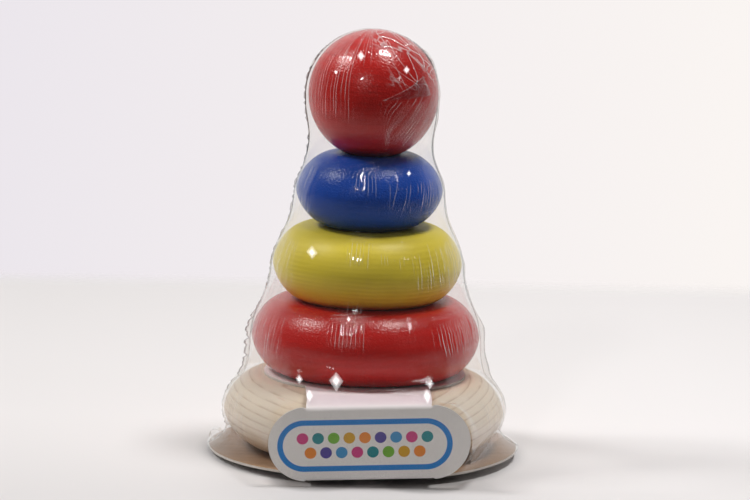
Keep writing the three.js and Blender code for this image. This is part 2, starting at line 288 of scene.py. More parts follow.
def bare_pine(context):
    """Sanded softwood with no finish: cream early wood between thin brown late-wood lines."""
    wood = stacker(context).wood
    material, add = emptied(bpy.data.materials.new("sanded_pine_bare"))
    where = add("TexCoord").outputs["Object"]
    # The board's pith lay above it, so the growth rings cut the rim in arcs that sag
    from_pith = add("Mapping", where, Location=(12 * MM, 0, -PITH_ABOVE_BASE))
    rings = add(
        "TexWave", from_pith, wave_type="RINGS", rings_direction="Y", wave_profile="SAW",
        Scale=waves_per_metre(GROWTH_SPACING), Distortion=2.6, Detail=2.0, Detail_Scale=0.22,
        Detail_Roughness=0.5,
    )
    late = add(
        "ValToRGB", rings.outputs["Fac"],
        stops=[(0.0, 0.5), (0.11, 0.0), (0.66, 0.02), (0.87, 0.4), (0.96, 1.0)],
    )
    # Some years left a stronger line than others
    years = add("TexNoise", where, Scale=150.0, Detail=1.0)
    strength = add("MapRange", years, 0.3, 0.7, 0.15, 0.7)
    line = add("Math", late, strength, operation="MULTIPLY")
    along_fibre = add("Mapping", where, Scale=(1 / FIBRE_WIDTH, 40, 1 / FIBRE_WIDTH))
    fibre = add("TexNoise", along_fibre, Scale=1.0, Detail=3.0)
    broad = add("TexNoise", where, Scale=28.0, Detail=2.0)
    early = add("ValToRGB", broad, stops=shaded(wood.bare, 0.86, 0.3, 0.7))
    fibred = add("Mix", 0.12, early, fibre.outputs["Color"], data_type="RGBA", blend_type="MULTIPLY")
    coloured = add("Mix", line, fibred, rgba(wood.ring_line), data_type="RGBA")
    bump = add("Bump", Strength=0.25, Distance=GRAIN_DEPTH, Height=fibre)
    surface = add("BsdfPrincipled", coloured, Roughness=0.6, Specular_IOR_Level=0.35, Normal=bump)
    add("OutputMaterial", surface)
    return material


def stained_pine(context):
    """Softwood under a see-through yellow stain and a clear coat: the fine level grain shows dark."""
    wood = stacker(context).wood
    material, add = emptied(bpy.data.materials.new("pine_yellow_stain_gloss"))
    where = add("TexCoord").outputs["Object"]
    # The pith ran from left to right far below, so the lines lie level in front and wander a little
    from_pith = add("Mapping", where, Location=(0, 0, 0.9))
    lines = add(
        "TexWave", from_pith, wave_type="RINGS", rings_direction="X", wave_profile="SIN",
        Scale=waves_per_metre(1.3 * FINE_SPACING), Distortion=6.0, Detail=4.0, Detail_Scale=0.13,
        Detail_Roughness=0.6,
    ).outputs["Fac"]
    # The grain shows in patches, most below the middle and least on the left
    place = add("SeparateXYZ", where)
    low, high = bottom_of("yellow_ring"), top_of("yellow_ring")
    patches = add("TexNoise", where, Scale=55.0, Detail=2.0)
    depth = add("MapRange", patches, 0.35, 0.7, 0.1, 0.65)
    lower = add(
        "MapRange", place.outputs["Z"], low + 0.35 * (high - low), high, 1.0, 0.25,
        interpolation_type="SMOOTHSTEP",
    )
    fainter = add("MapRange", place.outputs["X"], -30 * MM, -12 * MM, 0.35, 1.0)
    dark = lines
    for share in (depth, lower, fainter):
        dark = add("Math", dark, share, operation="MULTIPLY")
    grained = add("Mix", dark, rgba(wood.yellow), rgba(wood.yellow_line), data_type="RGBA")
    # It turns more orange towards the lower edge
    run = add(
        "MapRange", place.outputs["Z"], low + 0.5 * MM, low + 11 * MM, 0.6, 0.0,
        interpolation_type="SMOOTHSTEP",
    )
    coloured = add("Mix", run, grained, rgba(wood.yellow_low_edge), data_type="RGBA")
    bump = add("Bump", Strength=0.08, Distance=GRAIN_DEPTH, Height=lines)
    surface = add("BsdfPrincipled", coloured, Roughness=0.42, Specular_IOR_Level=0.25, Normal=bump)
    add("OutputMaterial", surface)
    return material


def lacquered_wood(name, colour, grain, shine):
    """Sprayed opaque lacquer on turned wood: an even colour with the grain telegraphing faintly."""
    material, add = emptied(bpy.data.materials.new(name))
    where = add("TexCoord").outputs["Object"]
    stretched = add("Mapping", where, Scale=(18, 18, 1 / FINE_SPACING))
    lines = add("TexNoise", stretched, Scale=1.0, Detail=3.0, Roughness=0.6, Distortion=0.3)
    shade = add("ValToRGB", lines, stops=shaded(colour, 1 - grain, 0.3, 0.7))
    peel = add("TexNoise", where, Scale=1 / PEEL_WIDTH, Detail=1.0)
    relief = add("Math", lines, 0.5, peel, operation="MULTIPLY_ADD")
    bump = add("Bump", Strength=0.9, Distance=PEEL_DEPTH, Height=relief)
    surface = add("BsdfPrincipled", shade, Roughness=0.25, Specular_IOR_Level=shine, Normal=bump)
    add("OutputMaterial", surface)
    return material


# Turned pieces

def turned(profile, steps):
    """Draws a profile of (radius, height) points by extruding a vertex, and spins it about the Z axis."""
    deselect_all()
    radius, height = profile[0]
    bpy.ops.mesh.primitive_plane_add(size=MM, location=(radius, 0, height))
    obj = bpy.context.object
    bpy.ops.object.mode_set(mode="EDIT")
    bpy.ops.mesh.merge(type="CENTER")
    for (r0, z0), (r1, z1) in zip(profile, profile[1:]):
        bpy.ops.mesh.extrude_vertices_move(TRANSFORM_OT_translate={"value": (r1 - r0, 0, z1 - z0)})
    bpy.ops.mesh.select_all(action="SELECT")
    bpy.ops.mesh.spin(steps=steps, angle=2 * math.pi, center=(0, 0, 0), axis=(0, 0, 1))
    close_up()
    return obj


EDGE_POINTS = 36
BALL_POINTS = 72
DRILL_POINT = math.radians(31)
PEG_PLAY = 0.15 * MM
PEG_TIP = 2.5 * MM


def rounded_edge(radius, depth, bottom, top, power, under=None):
    """A turned piece's rounded edge from its bottom face to its top face."""
    points = []
    half = (top - bottom) / 2
    for i in range(EDGE_POINTS + 1):
        z = bottom + half * (1 - math.cos(math.pi * i / EDGE_POINTS))
        level = min(1.0, abs(z - bottom - half) / half)
        inwards = under if under and z < bottom + half else depth
        points.append((radius - inwards * (1 - (1 - level ** power) ** (1 / power)), z))
    return points


def bored_ring(node, depth, wood):
    bottom, top = bottom_of(node), top_of(node)
    bore, chamfer = wood.bore_radius, wood.bore_chamfer
    profile = [(bore, bottom + chamfer), (bore + chamfer, bottom)]
    profile += rounded_edge(radius_of(node), depth, bottom, top, wood.edge_power)
    profile += [(bore + chamfer, top), (bore, top - chamfer), (bore, bottom + chamfer)]
    return turned(profile, wood.steps)


class STACKER_OT_turn_rings(bpy.types.Operator):
    """Turn the three coloured rings"""
    bl_idname = "stacker.turn_rings"
    bl_label = "Turn the rings"

    def execute(self, context):
        wood = stacker(context).wood
        red = lacquered_wood("red_lacquer_on_wood", wood.red, 0.12, 0.4)
        blue = lacquered_wood("blue_lacquer_on_wood", wood.blue, 0.1, 0.2)
        yellow = stained_pine(context)
        for node, name, depth, slot, material in (
            ("red_ring", "large_ring", wood.red_depth, "red_lacquer", red),
            ("yellow_ring", "middle_ring", wood.yellow_depth, "yellow_stain", yellow),
            ("blue_ring", "small_ring", wood.blue_depth, "blue_lacquer", blue),
        ):
            finish_piece(bored_ring(node, depth, wood), name, node, node, material)
        return {"FINISHED"}


class STACKER_OT_turn_ball(bpy.types.Operator):
    """Turn the ball, with its flat and its blind bore"""
    bl_idname = "stacker.turn_ball"
    bl_label = "Turn the ball"

    def execute(self, context):
        wood = stacker(context).wood
        radius, bottom, top = radius_of("top_ball"), bottom_of("top_ball"), top_of("top_ball")
        centre = top - radius
        bore, chamfer = wood.bore_radius, wood.bore_chamfer
        end = bottom + wood.ball_bore
        cone = bore * math.tan(DRILL_POINT)
        profile = [(0, end + cone), (bore, end), (bore, bottom + chamfer), (bore + chamfer, bottom)]
        start = -math.acos(wood.ball_flat / radius)
        for a in np.linspace(start, math.pi / 2, BALL_POINTS + 1)[:-1]:
            profile.append((radius * math.cos(a), centre + radius * math.sin(a)))
        profile.append((0, top))
        obj = turned(profile, wood.steps)
        obj.location.x += wood.ball_shift
        material = lacquered_wood("red_lacquer_on_ball", wood.red, 0.2, 0.4)
        finish_piece(obj, "ball", "top_ball", "top_ball", material)
        return {"FINISHED"}


class STACKER_OT_turn_base(bpy.types.Operator):
    """Turn the bare base and its peg"""
    bl_idname = "stacker.turn_base"
    bl_label = "Turn the base and the peg"

    def execute(self, context):
        wood = stacker(context).wood
        bottom, top = bottom_of("base_ring"), top_of("base_ring")
        peg_radius, peg_bottom, peg_top = radius_of("peg"), bottom_of("peg"), top_of("peg")
        socket, floor = peg_radius + PEG_PLAY, peg_bottom - PEG_PLAY
        profile = [(0, bottom)]
        profile += rounded_edge(
            radius_of("base_ring"), wood.base_depth, bottom, top, wood.edge_power, wood.base_under
        )
        profile += [(socket + wood.bore_chamfer, top), (socket, top - wood.bore_chamfer)]
        profile += [(socket, floor), (0, floor)]
        bare = bare_pine(context)
        finish_piece(turned(profile, wood.steps), "turned_base", "base", "base_ring", bare)
        profile = [(0, peg_bottom), (peg_radius - MM, peg_bottom), (peg_radius, peg_bottom + MM)]
        for a in np.linspace(0, math.pi / 2, 13):
            profile.append((peg_radius - PEG_TIP * (1 - math.cos(a)), peg_top - PEG_TIP * (1 - math.sin(a))))
        profile.append((0, peg_top))
        finish_piece(turned(profile, 64), "dowel_peg", "base", "peg", bare)
        return {"FINISHED"}


# Folded card

COLLAR_RADIUS = 34.9 * MM
PANEL_HEIGHT = 26.2 * MM
FRONT_START = 46 * MM
FRONT_FADE = 7 * MM

# Where the disc starts to rise: from the axis outwards, to the sides, backwards and towards the right
RIM_START = 34 * MM
SIDE_START, SIDE_FADE = 22 * MM, 26 * MM
BACK_FADE = 40 * MM
RIGHT_START, RIGHT_FADE = -10 * MM, 60 * MM

# The print: a round-ended outline, and two rows of dots inside it
LINE_HALF_LENGTH = 20.7 * MM
LINE_RADIUS = 8.14 * MM
INK_EDGE = 0.06 * MM
DOT_PITCH = 5.3 * MM
DOT_HEIGHT = 2.55 * MM
DOT_RADIUS = 1.99 * MM
INKS = ("#4c9bd2", "#f0913c", "#7bb93f", "#d8498c", "#5b4fa2", "#d9a62e", "#2b8f97")


def lined_board(context, middle):
    """White-lined chipboard with offset print on the panel: matt, with the grey-brown core at its edges."""
    card = stacker(context).card
    material, add = emptied(bpy.data.materials.new("white_lined_chipboard_printed"))
    where = add("TexCoord")
    flat = add("SeparateXYZ", where.outputs["UV"])
    # The print lies a little left of the panel's middle and below it
    across = add("Math", flat.outputs["X"], 1.5 * MM, operation="ADD")
    up = add("Math", flat.outputs["Y"], middle - 0.6 * MM, operation="SUBTRACT")
    # Distance from the outline's straight middle line, which makes the round-ended outline
    beyond = add("Math", across, operation="ABSOLUTE")
    beyond = add("Math", beyond, LINE_HALF_LENGTH, operation="SUBTRACT")
    beyond = add("Math", beyond, 0.0, operation="MAXIMUM")
    reach = add("CombineXYZ", beyond, up)
    reach = add("VectorMath", reach, operation="LENGTH")
    off_line = add("Math", reach, LINE_RADIUS, operation="SUBTRACT")
    off_line = add("Math", off_line, operation="ABSOLUTE")
    half = card.line_width / 2
    line = add("MapRange", off_line, half - INK_EDGE, half + INK_EDGE, 1.0, 0.0)

    # Inside it, two staggered rows of plain round dots in mixed colours
    row = add("Math", up, 0.0, operation="GREATER_THAN")
    steps = add("Math", across, DOT_PITCH, operation="DIVIDE")
    steps = add("Math", row, 0.5, steps, operation="MULTIPLY_ADD")
    cell = add("Math", steps, operation="FLOOR")
    within = add("Math", steps, cell, operation="SUBTRACT")
    sideways = add("Math", within, DOT_PITCH, -DOT_PITCH / 2, operation="MULTIPLY_ADD")
    upwards = add("Math", up, operation="ABSOLUTE")
    upwards = add("Math", upwards, DOT_HEIGHT, operation="SUBTRACT")
    from_dot = add("CombineXYZ", sideways, upwards)
    from_dot = add("VectorMath", from_dot, operation="LENGTH")
    dot = add("MapRange", from_dot, DOT_RADIUS - INK_EDGE, DOT_RADIUS + INK_EDGE, 1.0, 0.0)
    centre = add("Math", row, -0.5, cell, operation="MULTIPLY_ADD")
    centre = add("Math", centre, 0.5, operation="ADD")
    centre = add("Math", centre, operation="ABSOLUTE")
    inside = add("Math", centre, 4.2, operation="LESS_THAN")
    dot = add("Math", dot, inside, operation="MULTIPLY")
    count = len(INKS)
    order = add("Math", row, 2 / count, 20.5 / count, operation="MULTIPLY_ADD")
    order = add("Math", cell, 3 / count, order, operation="MULTIPLY_ADD")
    order = add("Math", order, operation="FRACT")
    ink = add(
        "ValToRGB", order, ramp="CONSTANT", stops=[(i / count, linear(code)) for i, code in enumerate(INKS)]
    )
    faint = add("TexNoise", where.outputs["Object"], Scale=900.0, Detail=2.0)
    paper = add("ValToRGB", faint, stops=shaded(card.white, 0.96, 0.3, 0.7))
    printed = add("Mix", dot, paper, ink, data_type="RGBA")
    lined = add("Mix", line, printed, rgba(card.line), data_type="RGBA")

    # The unlined face is streaked grey-brown board
    streaks = add("Mapping", where.outputs["Object"], Scale=(60, 700, 60))
    streak = add("TexNoise", streaks, Scale=1.0, Detail=4.0)
    board = add("ValToRGB", streak, stops=shaded(card.kraft, 0.62, 0.25, 0.75))
    faces = add("SeparateColor", add("VertexColor", layer_name="side"))
    outer = add("Mix", faces.outputs["Red"], board, lined, data_type="RGBA")
    cut = add("Mix", faces.outputs["Blue"], outer, rgba(card.core), data_type="RGBA")
    bump = add("Bump", Strength=0.15, Distance=GRAIN_DEPTH, Height=streak)
    surface = add("BsdfPrincipled", cut, Roughness=0.62, Specular_IOR_Level=0.4, Normal=bump)
    add("OutputMaterial", surface)
    return material


class CardLayout:
    """Where the flat sheet's parts lie along it, from the disc's centre, and where they fold to."""

    def __init__(self, card):
        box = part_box("card_insert")
        self.half = card.thickness / 2
        self.wide = card.fold_width / 2
        self.radius = card.fold_radius
        self.disc = box[1].x
        self.face = -box[0].y
        self.collar_top = box[1].z
        outer = self.radius + self.half
        self.fold_y = outer - self.face
        self.low = outer
        self.high = PANEL_HEIGHT - outer
        bend_y, bend_z = -card.neck_lead, self.collar_top - self.half
        run, rise = bend_y - self.fold_y, bend_z - self.high
        far = math.hypot(run, rise)
        self.climb = math.atan2(rise, run) - math.asin(self.radius / far)
        self.neck = math.sqrt(far ** 2 - self.radius ** 2)
        self.bend = (bend_y, bend_z)
        quarter = self.radius * math.pi / 2
        self.s_low = -self.fold_y
        self.s_panel = self.s_low + quarter
        self.s_high = self.s_panel + self.high - self.low
        self.s_neck = self.s_high + self.radius * (math.pi / 2 - self.climb)
        self.s_bend = self.s_neck + self.neck
        self.s_collar = self.s_bend + card.neck_lead
        self.middle = (self.s_panel + self.s_high) / 2
        self.end_half = (self.s_high - self.s_panel) / 2 + quarter / 2

    def fold(self, centre, angle):
        """A place in a fold, by the height of its centre and the angle round it, and the way inwards."""
        n = (math.sin(angle), math.cos(angle))
        return (self.fold_y - self.radius * n[0], centre - self.radius * n[1]), n

    def strip(self, s):
        """Where the middle layer lies at s, and the way to its unlined side, as (y, z) pairs."""
        if s <= self.s_low:
            return (-s, self.half), (0, 1)
        if s <= self.s_panel:
            return self.fold(self.low, (s - self.s_low) / self.radius)
        if s <= self.s_high:
            return (self.fold_y - self.radius, self.low + s - self.s_panel), (1, 0)
        if s <= self.s_neck:
            return self.fold(self.high, math.pi / 2 + (s - self.s_high) / self.radius)
        if s <= self.s_bend:
            along = self.s_bend - s
            c, k = math.cos(self.climb), math.sin(self.climb)
            return (self.bend[0] - along * c, self.bend[1] - along * k), (k, -c)
        return (self.bend[0] + s - self.s_bend, self.bend[1]), (0, -1)

    def on_panel(self, s):
        return abs(s - self.middle) <= self.end_half * 1.001

    def place(self, x, s, t, card):
        """Where a point of the flat sheet goes: x across, s along, t through towards the unlined side."""
        (y, z), (ny, nz) = self.strip(s)
        y, z = y + t * ny, z + t * nz
        past = min(1.0, max(0.0, (abs(x) - self.wide) / MM))
        if past and self.on_panel(s):
            flat_y = -self.face + self.half + t
            flat_z = PANEL_HEIGHT / 2 * (1 + (s - self.middle) / self.end_half)
            y += (flat_y - y) * past
            z += (flat_z - z) * past
        if s <= self.s_low:
            z += self.lift(x, -s, card) * (1 - in_front(s))
        return self.draw_up(x, y, z, card)

    def draw_up(self, x, y, z, card):
        """Raises the panel's lower end and turns the panel a little in its plane, as the film holds it."""
        near = in_front(-y)
        turn = math.radians(card.panel_turn) * near
        raised = z + x * turn
        raised += near * card.front_lift * (1 - z / PANEL_HEIGHT)
        lean = card.top_lean * smooth_step((z / PANEL_HEIGHT - 0.4) / 0.6) * near
        return x - (z - PANEL_HEIGHT / 2) * turn, y - lean, raised

    def lift(self, x, y, card):
        """How far the film's pull raises the disc: its rim at the sides and behind, most on the right."""
        out = smooth_step((math.hypot(x, y) - RIM_START) / (self.disc - RIM_START))
        free = max(smooth_step((abs(x) - SIDE_START) / SIDE_FADE), smooth_step(y / BACK_FADE))
        lean = min(1.0, max(0.0, (x - RIGHT_START) / RIGHT_FADE))
        sides = card.rim_lift + card.right_lift * lean
        return out * (card.front_lift + free * (sides - card.front_lift))

    def art(self, x, s):
        """Flat coordinates for the print, which keep the scale of the folded panel at its round ends."""
        if abs(x) > self.wide and self.on_panel(s):
            return x, self.middle + (s - self.middle) * PANEL_HEIGHT / (2 * self.end_half)
        return x, s

    def outline(self):
        """The flat sheet's outline as (x, s) points, anticlockwise from the disc's right front corner."""
        def arc(cx, cs, rx, rs, start, end, count):
            return [
                (cx + rx * math.cos(start + (end - start) * i / count),
                 cs + rs * math.sin(start + (end - start) * i / count))
                for i in range(count + 1)
            ]
        quarter = math.pi / 2
        lead = math.asin(self.wide / COLLAR_RADIUS)
        corner = math.asin(self.wide / self.disc)
        points = [(self.wide, math.sqrt(self.disc ** 2 - self.wide ** 2))]
        points += arc(self.wide, self.middle, PANEL_HEIGHT / 2, self.end_half, -quarter, quarter, 40)
        points += arc(0, self.s_collar, COLLAR_RADIUS, COLLAR_RADIUS, lead - quarter, 3 * quarter - lead, 120)
        points += arc(-self.wide, self.middle, PANEL_HEIGHT / 2, self.end_half, quarter, 3 * quarter, 40)
        points += arc(0, 0, self.disc, self.disc, quarter + corner, 5 * quarter - corner, 168)[:-1]
        return points


def in_front(reach):
    """How much a place belongs to the panel and its folds, by its distance in front of the peg's axis."""
    return smooth_step((reach - FRONT_START) / FRONT_FADE)


def cut_flat(points, hole, centre, thickness):
    """Cuts a flat sheet with one round hole, as a filled curve made a mesh."""
    curve = bpy.data.curves.new("flat_sheet", "CURVE")
    curve.dimensions = "2D"
    curve.fill_mode = "BOTH"
    curve.extrude = thickness / 2
    round_hole = [
        (hole * math.cos(2 * math.pi * i / 64), centre + hole * math.sin(2 * math.pi * i / 64))
        for i in range(64)
    ]
    for loop in (points, round_hole):
        spline = curve.splines.new("POLY")
        spline.points.add(len(loop) - 1)
        for point, (x, s) in zip(spline.points, loop):
            point.co = (x, s, 0, 1)
        spline.use_cyclic_u = True
    obj = bpy.data.objects.new("flat_sheet", curve)
    bpy.context.scene.collection.objects.link(obj)
    only(obj)
    bpy.ops.object.convert(target="MESH")
    return bpy.context.object


class STACKER_OT_fold_card(bpy.types.Operator):
    """Cut the card insert flat and fold it round the base"""
    bl_idname = "stacker.fold_card"
    bl_label = "Fold the card"

    def execute(self, context):
        card = stacker(context).card
        layout = CardLayout(card)
        obj = cut_flat(layout.outline(), card.hole_radius, layout.s_collar, card.thickness)
        bpy.ops.object.mode_set(mode="EDIT")
        bpy.ops.mesh.select_all(action="SELECT")
        bpy.ops.mesh.remove_doubles(threshold=1e-6)
        # Score it across wherever it bends, and both ways where it bows
        cuts = [layout.s_low + (layout.s_panel - layout.s_low) * i / 8 for i in range(9)]
        cuts += [layout.s_high + (layout.s_neck - layout.s_high) * i / 8 for i in range(9)]
        cuts += [layout.s_bend, *np.arange(-layout.disc, layout.s_low, 4 * MM)]
        cuts += list(np.linspace(layout.s_panel, layout.s_high, 6)[1:-1])
        cuts += list(np.linspace(layout.s_neck, layout.s_bend, 5)[1:-1])
        steps = [*np.arange(-layout.disc + 2 * MM, layout.disc, 4 * MM)]
        steps += [layout.wide, -layout.wide, layout.wide + MM, -layout.wide - MM]
        planes = [((0, float(s), 0), (0, 1, 0)) for s in cuts]
        planes += [((float(x), 0, 0), (1, 0, 0)) for x in steps]
        for point, way in planes:
            bpy.ops.mesh.select_all(action="SELECT")
            bpy.ops.mesh.bisect(plane_co=point, plane_no=way)
        close_up()
        mesh = obj.data
        side = mesh.color_attributes.new("side", "FLOAT_COLOR", "CORNER")
        while mesh.uv_layers:
            mesh.uv_layers.remove(mesh.uv_layers[0])
        flat = mesh.uv_layers.new(name="flat")
        for face in mesh.polygons:
            # The flat sheet lies with its lined face down
            up = face.normal.z
            tint = (1, 0, 0, 1) if up < -0.5 else (0, 1, 0, 1) if up > 0.5 else (0, 0, 1, 1)
            for corner in face.loop_indices:
                side.data[corner].color = tint
                x, s, _ = mesh.vertices[mesh.loops[corner].vertex_index].co
                flat.data[corner].uv = layout.art(x, s)
        for vertex in mesh.vertices:
            vertex.co = layout.place(vertex.co.x, vertex.co.y, vertex.co.z, card)
        only(obj)
        bpy.ops.object.mode_set(mode="EDIT")
        close_up()
        material = lined_board(context, layout.middle)
        finish_piece(obj, "folded_card", "base", "card_insert", material)
        return {"FINISHED"}


# Shrink film

FILM_WALL = [
    # Height and radius of the film's middle, in mm: taut over each ring's rim, drawn in between them
    (120, 22.6), (116, 21.9), (112, 21.2), (109, 20.9), (106, 21.0), (103, 21.5), (101, 22.2),
    (98, 23.5), (95, 24.9), (91.6, 25.75), (87, 26.0), (83, 26.6), (79.5, 27.8), (76, 29.4),
    (73, 30.9), (70, 32.1), (66, 33.1), (61, 33.4), (57, 34.3), (54, 35.3), (50.5, 36.9),
    (46.5, 38.7), (40.3, 39.85), (34, 40.1), (30.5, 40.5), (28, 41.4), (26, 42.6), (23.5, 45.2),
    (19.5, 47.9), (15.5, 49.0), (13.2, 48.95), (10.5, 48.2), (8.5, 47.5), (6.9, 47.3), (5.4, 47.9),
    (3.9, 49.2), (2.6, 50.9), (1.6, 52.6), (0.9, 53.75),
]
FILM_ROWS = 190
FILM_BACK = 90
FILM_FRONT = 156
SEAM_SIDE = math.radians(0.9)
LOWER_ON_RIGHT = 2.2 * MM
EASINGS = 14

# Up to which heights it is drawn up with the panel, and, fading above the disc, with the disc's rim
PANEL_REACH = 30 * MM
RIM_REACH = 14 * MM
RIM_FULL = 3 * MM


def film_rows(gap):
    """Radius and height of each row of the film, from the crown to the hem, in metres."""
    ball, top = radius_of("top_ball"), top_of("top_ball")
    centre = top - ball
    r = ball + gap
    crown = [(r * math.sin(a), centre + r * math.cos(a)) for a in np.linspace(0.004, math.pi / 2, 60)]
    wall = [(radius * MM, z * MM) for z, radius in FILM_WALL]
    line = np.array(crown + wall)
    length = np.concatenate([[0], np.cumsum(np.hypot(*np.diff(line, axis=0).T))])
    fine = np.linspace(0, length[-1], 1200)
    radii = np.interp(fine, length, line[:, 0])
    heights = np.interp(fine, length, line[:, 1])
    kernel = np.exp(-np.linspace(-2, 2, 21) ** 2)
    kernel /= kernel.sum()
    pad = 10
    smooth = np.convolve(np.pad(radii, pad, mode="edge"), kernel, mode="valid")
    radii = np.where(heights < centre, smooth, radii)
    rows = np.linspace(0, length[-1], FILM_ROWS + 1)
    return np.interp(rows, fine, radii), np.interp(rows, fine, heights)


FILM_TENT = [
    # Height, half width and reach in mm of the film in front, from the top fold up to the large ring,
    # and how much of the corners is left there
    (26.6, 21.3, 54.4, 1), (27.5, 22.3, 51.0, 1), (28.9, 23.5, 46.6, 1), (30.9, 24.7, 42.9, 0.9),
    (34, 26, 41.2, 0.5), (38, 28, 40.3, 0.22), (44, 30.5, 39.9, 0),
]


def film_front(z, gap, layout):
    """Half width, reach and corners in front: close over the panel, then back to the large ring."""
    height, half, reach, left = zip(*FILM_TENT)
    if z > height[0] * MM:
        return (
            np.interp(z / MM, height, half) * MM, np.interp(z / MM, height, reach) * MM + gap,
            np.interp(z / MM, height, left),
        )
    over = PANEL_HEIGHT / 2 + gap
    up = min(over, abs(z - PANEL_HEIGHT / 2))
    return layout.wide + math.sqrt(over ** 2 - up ** 2), layout.face + gap, 1


def film_angles(corner):
    """Angles round one row: two on the panel's corners, and close ones at each sealed edge."""
    left, right = math.pi + SEAM_SIDE, 2 * math.pi - SEAM_SIDE
    left_corner, right_corner = 1.5 * math.pi - corner, 1.5 * math.pi + corner
    back = np.linspace(SEAM_SIDE, math.pi - SEAM_SIDE, FILM_BACK)
    side = FILM_FRONT // 3
    front = [np.linspace(left, left_corner, side)[:-1]]
    front.append(np.linspace(left_corner, right_corner, FILM_FRONT - 2 * side + 2)[:-1])
    front.append(np.linspace(right_corner, right, side))
    return np.concatenate([[0.0], back, [math.pi], *front, [2 * math.pi]])


def film_reach(angles, radius, half, face):
    """Distance from the axis at each angle: a circle, drawn tight over the panel's two corners."""
    reach = np.full(len(angles), radius)
    far = math.hypot(half, face)
    if far <= radius:
        return reach
    spread = math.acos(radius / far)
    facing = 1.5 * math.pi
    corner = math.atan2(half, face)
    off = np.abs(angles - facing)
    on_face = off <= corner
    reach[on_face] = face / np.cos(off[on_face])
    touch = corner + spread
    slant = (off > corner) & (off < touch)
    # The straight line that touches the circle at the touch angle
    reach[slant] = radius / np.cos(touch - off[slant])
    return np.maximum(reach, radius)


# Where the film is pleated: angles from the front in degrees, heights in mm, and how strongly
PLEATED = [
    (-78, -20, 119, 142, 1.1),      # over the ball, left
    (-130, 10, 137, 160, 0.7),      # crown, left
    (8, 84, 110, 126, 1.0),         # over the ball, right, on a slant
    (-88, 88, 95, 108, 0.15),       # under the ball
    (-15, 5, 94, 103, 1.25),        # small ring, front
    (14, 70, 88, 97, 0.8),          # small ring, right
    (-84, -50, 80, 101, 0.6),       # small ring, left
    (-15, 0, 70, 80, 1.2),          # middle ring, front
    (2, 24, 70, 74, 1.0),           # middle ring, right of it
    (26, 74, 62, 76, 0.8),          # middle ring, right
    (-84, -54, 55, 77, 0.5),        # middle ring, left
    (-19, -1, 43, 56, 1.25),        # large ring, front
    (36, 84, 40, 51, 1.3),          # large ring, right
    (-86, -46, 30, 50, 0.5),        # large ring, left
    (-88, -52, 5, 22, 0.6),         # base, left
    (50, 88, 5, 22, 0.6),           # base, right
]
FAINTEST_PLEATS = 0.06

# Behind, it is pleated all round: lowest and highest height in mm of each band
PLEATED_BEHIND = [(104, 140), (82, 102), (54, 77), (30, 50), (4, 22)]
PLEAT_SPACING = 1.5 * MM
STROKE_LENGTH = 14 * MM
RIPPLE_WIDTH = 1.3 * MM
RIPPLE_LENGTH = 18 * MM
CREASE_DEPTH = 0.16 * MM
SLANT = 0.8

# Where the film stands off the ball beside its crown: degrees from the front, height and distance in mm
LOOSE = [(68, 138, 1.5), (112, 136, 1.2), (-72, 137, 0.8), (20, 146, 0.5)]
CROWN_LUMPS = 40
LONG_WAVES = 22

# Layers of creases over the crown: which way they are drawn out, in degrees, and how far, in mm
CROWN_FOLDS = [(38, (26, 12, 4.2)), (58, (22, 12, 3.8)), (18, (26, 12, 4.8))]

# Height and radius in mm at which pleats are counted, so that they lie equally close on every piece
GIRTHS = [(25, 46), (29, 40), (51, 40), (54, 33.5), (78, 33.5), (81, 26), (101, 26), (105, 23)]

# Small flat puckers that catch a lamp, over the corners of the card's folds, on the rings and on the
# ball: x and height in mm, the way that each faces as degrees to the right and up, and half its width in mm
SPOTS = [
    (-23.9, 32.2, 13, 46.6, 1.0), (-11.4, 32.3, 13, 46.6, 1.8), (20.6, 31.8, 13, 46.6, 0.9),
    (-20.6, 28.3, 13, 46.6, 1.0), (19.4, 28.9, 13, 46.6, 1.0), (-20.1, 73.2, -35.7, 39, 1.4),
    (-7.4, 52.4, 13, 46.6, 0.8), (12.6, 100.5, 13, 46.6, 0.7), (-4.8, 140.4, 14, 46, 1.1),
    (10.9, 136, 14, 46, 0.9), (-13.2, 134.6, 14, 46, 0.6),
]


# The dog-ear of the hem on the left
CURL_PLACE = (-51.2 * MM, -4 * MM, 5.2 * MM)
CURL_END = (-50.4 * MM, 0, 4.0 * MM)
CURL_RADIUS = 2.1 * MM
CURL_LENGTH = 5 * MM
# The spare corner on the ball: its tip and two far corners, as degrees from the front and height in mm
SPARE_CORNER = [(7, 126), (51.5, 133.6), (58.3, 126.8)]
SPARE_STEPS = 14
SPARE_OFF = 0.45 * MM
SPARE_LUMPS = 0.12 * MM


def from_front(angles):
    """Angles from the front in degrees, to the right positive."""
    front = np.degrees(angles) - 270.0
    return np.where(front < -180, front + 360, front)


def soft_band(value, low, high, fade):
    """1 between two limits, fading to 0 past them."""
    up = np.clip((value - low) / fade + 0.5, 0, 1)
    down = np.clip((high - value) / fade + 0.5, 0, 1)
    both = np.minimum(up, down)
    return both * both * (3 - 2 * both)


def pleat_strength(angles, heights):
    front = from_front(angles)
    z = heights[:, None] / MM
    strength = np.full(front.shape, FAINTEST_PLEATS)
    for start, end, low, high, amount in PLEATED:
        here = soft_band(front, start, end, 12) * soft_band(z, low, high, 5)
        strength = np.maximum(strength, amount * here)
    behind = soft_band(np.abs(front), 125, 400, 20)
    for low, high in PLEATED_BEHIND:
        strength = np.maximum(strength, 0.7 * behind * soft_band(z, low, high, 5))
    return strength


def crumple_strength(angles, heights):
    """The gathered crown, most crumpled on its right."""
    front = from_front(angles)
    z = heights[:, None] / MM
    right = soft_band(front, 16, 190, 16)
    top = soft_band(z, 143, 200, 4) * soft_band(front, 0, 190, 30)
    return 0.9 * np.maximum(top, right * soft_band(z, 130, 200, 6))


